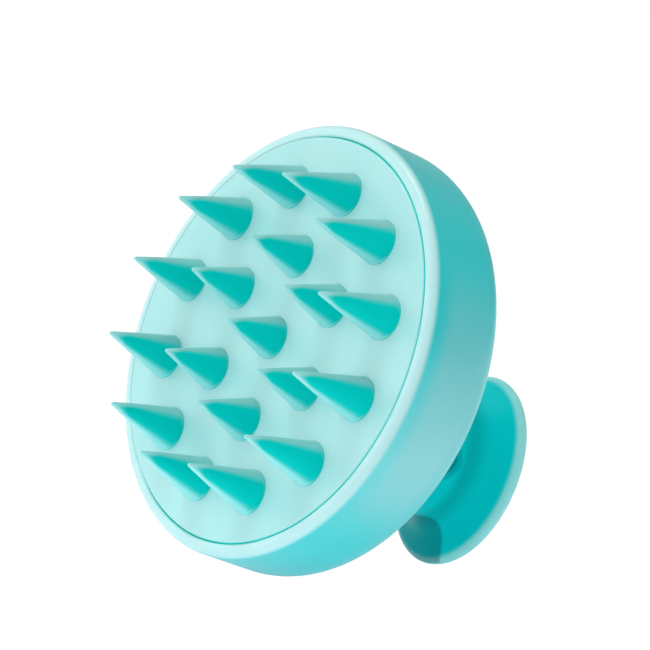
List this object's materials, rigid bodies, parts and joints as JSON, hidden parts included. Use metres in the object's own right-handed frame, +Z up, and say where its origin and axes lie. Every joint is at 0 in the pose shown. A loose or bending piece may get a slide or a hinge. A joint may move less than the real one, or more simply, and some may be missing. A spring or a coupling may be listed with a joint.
{
  "type": "scalp massager brush",
  "caption": "Round hand-held scalp massager brush with soft cone bristles on a silicone pad and an off-centre oval palm grip on a waisted neck.",
  "frame": {"origin": "on the brush axis, in the plane of the outer bristle tips, so the brush stands on Z = 0", "axes": "+Z up the brush axis from the bristle tips to the palm face; +X towards the side the oval palm grip is set off to; +Y along the cord hole through the neck"},
  "size_m": [0.08, 0.08, 0.07],
  "materials": {
    "shell_plastic": "gloss",
    "silicone": "satin",
    "inner_plastic": "satin",
    "screw_steel": "satin"
  },
  "bodies": {
    "head": {"head_shell": "shell_plastic", "handle_grip": "shell_plastic", "palm_cap": "shell_plastic", "pad_carrier": "inner_plastic", "handle_screws": "screw_steel", "carrier_screws": "screw_steel"},
    "pad": {"bristle_pad": "silicone"},
    "bristle_01": {"bristle_01": "silicone"},
    "bristle_02": {"bristle_02": "silicone"},
    "bristle_03": {"bristle_03": "silicone"},
    "bristle_04": {"bristle_04": "silicone"},
    "bristle_05": {"bristle_05": "silicone"},
    "bristle_06": {"bristle_06": "silicone"},
    "bristle_07": {"bristle_07": "silicone"},
    "bristle_08": {"bristle_08": "silicone"},
    "bristle_09": {"bristle_09": "silicone"},
    "bristle_10": {"bristle_10": "silicone"},
    "bristle_11": {"bristle_11": "silicone"},
    "bristle_12": {"bristle_12": "silicone"},
    "bristle_13": {"bristle_13": "silicone"},
    "bristle_14": {"bristle_14": "silicone"},
    "bristle_15": {"bristle_15": "silicone"},
    "bristle_16": {"bristle_16": "silicone"},
    "bristle_17": {"bristle_17": "silicone"},
    "bristle_18": {"bristle_18": "silicone"},
    "bristle_19": {"bristle_19": "silicone"}
  },
  "joints": [
    {"name": "pad_pull_out", "type": "slide", "parent": "head", "child": "pad", "axis": [0, 0, -1], "range_m": [0, 0.02]},
    {"name": "bristle_01_bend", "type": "hinge", "parent": "pad", "child": "bristle_01", "pos_m": [0, 0, 0.0146], "axis": [0, 1, 0], "range_deg": [-20, 20], "stiffness_Nm_per_rad": 0.04},
    {"name": "bristle_02_bend", "type": "hinge", "parent": "pad", "child": "bristle_02", "pos_m": [0.0152, 0, 0.0146], "axis": [0, 1, 0], "range_deg": [-20, 20], "stiffness_Nm_per_rad": 0.04},
    {"name": "bristle_03_bend", "type": "hinge", "parent": "pad", "child": "bristle_03", "pos_m": [0.0076, 0.01316, 0.0146], "axis": [0, 1, 0], "range_deg": [-20, 20], "stiffness_Nm_per_rad": 0.04},
    {"name": "bristle_04_bend", "type": "hinge", "parent": "pad", "child": "bristle_04", "pos_m": [-0.0076, 0.01316, 0.0146], "axis": [0, 1, 0], "range_deg": [-20, 20], "stiffness_Nm_per_rad": 0.04},
    {"name": "bristle_05_bend", "type": "hinge", "parent": "pad", "child": "bristle_05", "pos_m": [-0.0152, 0, 0.0146], "axis": [0, 1, 0], "range_deg": [-20, 20], "stiffness_Nm_per_rad": 0.04},
    {"name": "bristle_06_bend", "type": "hinge", "parent": "pad", "child": "bristle_06", "pos_m": [-0.0076, -0.01316, 0.0146], "axis": [0, 1, 0], "range_deg": [-20, 20], "stiffness_Nm_per_rad": 0.04},
    {"name": "bristle_07_bend", "type": "hinge", "parent": "pad", "child": "bristle_07", "pos_m": [0.0076, -0.01316, 0.0146], "axis": [0, 1, 0], "range_deg": [-20, 20], "stiffness_Nm_per_rad": 0.04},
    {"name": "bristle_08_bend", "type": "hinge", "parent": "pad", "child": "bristle_08", "pos_m": [0.02743, 0.00735, 0.0146], "axis": [0, 1, 0], "range_deg": [-20, 20], "stiffness_Nm_per_rad": 0.04},
    {"name": "bristle_09_bend", "type": "hinge", "parent": "pad", "child": "bristle_09", "pos_m": [0.02008, 0.02008, 0.0146], "axis": [0, 1, 0], "range_deg": [-20, 20], "stiffness_Nm_per_rad": 0.04},
    {"name": "bristle_10_bend", "type": "hinge", "parent": "pad", "child": "bristle_10", "pos_m": [0.00735, 0.02743, 0.0146], "axis": [0, 1, 0], "range_deg": [-20, 20], "stiffness_Nm_per_rad": 0.04},
    {"name": "bristle_11_bend", "type": "hinge", "parent": "pad", "child": "bristle_11", "pos_m": [-0.00735, 0.02743, 0.0146], "axis": [0, 1, 0], "range_deg": [-20, 20], "stiffness_Nm_per_rad": 0.04},
    {"name": "bristle_12_bend", "type": "hinge", "parent": "pad", "child": "bristle_12", "pos_m": [-0.02008, 0.02008, 0.0146], "axis": [0, 1, 0], "range_deg": [-20, 20], "stiffness_Nm_per_rad": 0.04},
    {"name": "bristle_13_bend", "type": "hinge", "parent": "pad", "child": "bristle_13", "pos_m": [-0.02743, 0.00735, 0.0146], "axis": [0, 1, 0], "range_deg": [-20, 20], "stiffness_Nm_per_rad": 0.04},
    {"name": "bristle_14_bend", "type": "hinge", "parent": "pad", "child": "bristle_14", "pos_m": [-0.02743, -0.00735, 0.0146], "axis": [0, 1, 0], "range_deg": [-20, 20], "stiffness_Nm_per_rad": 0.04},
    {"name": "bristle_15_bend", "type": "hinge", "parent": "pad", "child": "bristle_15", "pos_m": [-0.02008, -0.02008, 0.0146], "axis": [0, 1, 0], "range_deg": [-20, 20], "stiffness_Nm_per_rad": 0.04},
    {"name": "bristle_16_bend", "type": "hinge", "parent": "pad", "child": "bristle_16", "pos_m": [-0.00735, -0.02743, 0.0146], "axis": [0, 1, 0], "range_deg": [-20, 20], "stiffness_Nm_per_rad": 0.04},
    {"name": "bristle_17_bend", "type": "hinge", "parent": "pad", "child": "bristle_17", "pos_m": [0.00735, -0.02743, 0.0146], "axis": [0, 1, 0], "range_deg": [-20, 20], "stiffness_Nm_per_rad": 0.04},
    {"name": "bristle_18_bend", "type": "hinge", "parent": "pad", "child": "bristle_18", "pos_m": [0.02008, -0.02008, 0.0146], "axis": [0, 1, 0], "range_deg": [-20, 20], "stiffness_Nm_per_rad": 0.04},
    {"name": "bristle_19_bend", "type": "hinge", "parent": "pad", "child": "bristle_19", "pos_m": [0.02743, -0.00735, 0.0146], "axis": [0, 1, 0], "range_deg": [-20, 20], "stiffness_Nm_per_rad": 0.04}
  ]
}
